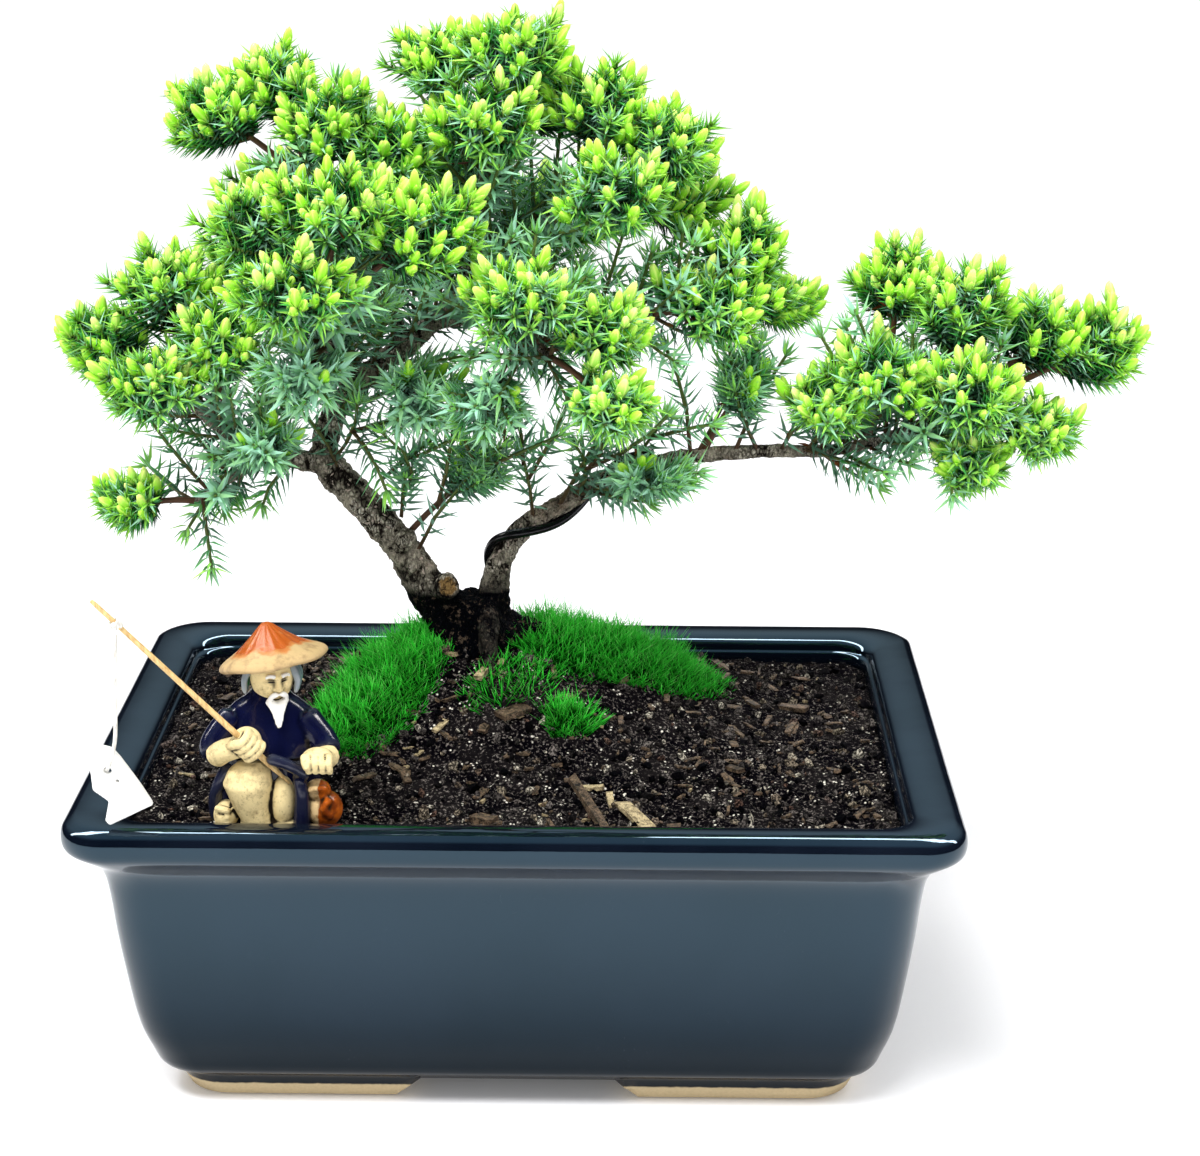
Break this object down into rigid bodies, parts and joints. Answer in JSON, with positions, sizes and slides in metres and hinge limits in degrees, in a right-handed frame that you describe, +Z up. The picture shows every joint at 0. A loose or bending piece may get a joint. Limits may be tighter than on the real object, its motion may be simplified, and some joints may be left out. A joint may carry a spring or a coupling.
{
  "type": "juniper bonsai",
  "caption": "Juniper bonsai with layered needle sprays on a forked trunk, in an oblong glazed pot with a seated clay fisherman on the soil.",
  "frame": {"origin": "under the middle of the whole object's box, on the plane that the foot soles stand on", "axes": "+X to the pot's right along its long side, +Y to its back, +Z up"},
  "size_m": [0.2598, 0.15, 0.2475],
  "materials": {
    "glaze": "glossy near-black blue glaze",
    "soil": "damp dark crumbs",
    "chips": "pale weathered bark chips",
    "bark": "flaking grey-brown bark",
    "needles": "waxy green needles",
    "buds": "fresh lime new growth",
    "moss": "soft green strands",
    "wire": "black anodised",
    "clay": "bare fired clay",
    "robe_glaze": "glossy dark blue glaze",
    "hat_glaze": "glossy orange glaze",
    "hair_glaze": "white glaze",
    "bamboo": "smooth pale bamboo",
    "thread": "white cotton thread",
    "white_clay": "white glaze"
  },
  "bodies": {
    "root": {"pot": "glaze", "soil": "soil", "tree_wood": "bark", "training_wire": "wire", "moss_left": "moss", "moss_right": "moss", "moss_tuft": "moss", "fisherman": "clay", "fishing_rod": "bamboo", "line_turns": "thread", "fishing_line": "thread", "fish": "white_clay", "spray_crown_front": "needles", "spray_crown_top": "needles", "spray_crown_left": "needles", "spray_crown_back": "needles", "spray_upper_left_tip": "needles", "spray_upper_left_top": "needles", "spray_upper_left_middle": "needles", "spray_upper_left_inner": "needles", "spray_front_left_outer": "needles", "spray_front_left_top": "needles", "spray_front_left_inner": "needles", "spray_front_left_low": "needles", "spray_front_left_shade": "needles", "spray_left_top": "needles", "spray_left_tip": "needles", "spray_left_front": "needles", "spray_left_inner": "needles", "spray_left_under": "needles", "spray_left_low": "needles", "spray_upper_right_top": "needles", "spray_upper_right_tip": "needles", "spray_upper_right_front": "needles", "spray_upper_right_back": "needles", "spray_right_tip": "needles", "spray_right_low": "needles", "spray_right_outer": "needles", "spray_centre_top": "needles", "spray_centre_right": "needles", "spray_centre_low": "needles", "spray_centre_shade": "needles", "spray_inner_shade": "needles", "spray_reach_rise": "needles", "spray_reach_upper": "needles", "spray_reach_front": "needles", "spray_reach_middle": "needles", "spray_reach_outer": "needles", "spray_reach_tip": "needles", "spray_reach_low": "needles", "spray_reach_end": "needles", "spray_reach_inner": "needles", "spray_trunk_shoot": "needles", "spray_under_low": "needles", "spray_under_rise": "needles", "spray_back_top": "needles", "spray_back_right": "needles", "spray_back_left_top": "needles", "spray_back_left_low": "needles", "spray_back_low": "needles"}
  },
  "joints": []
}
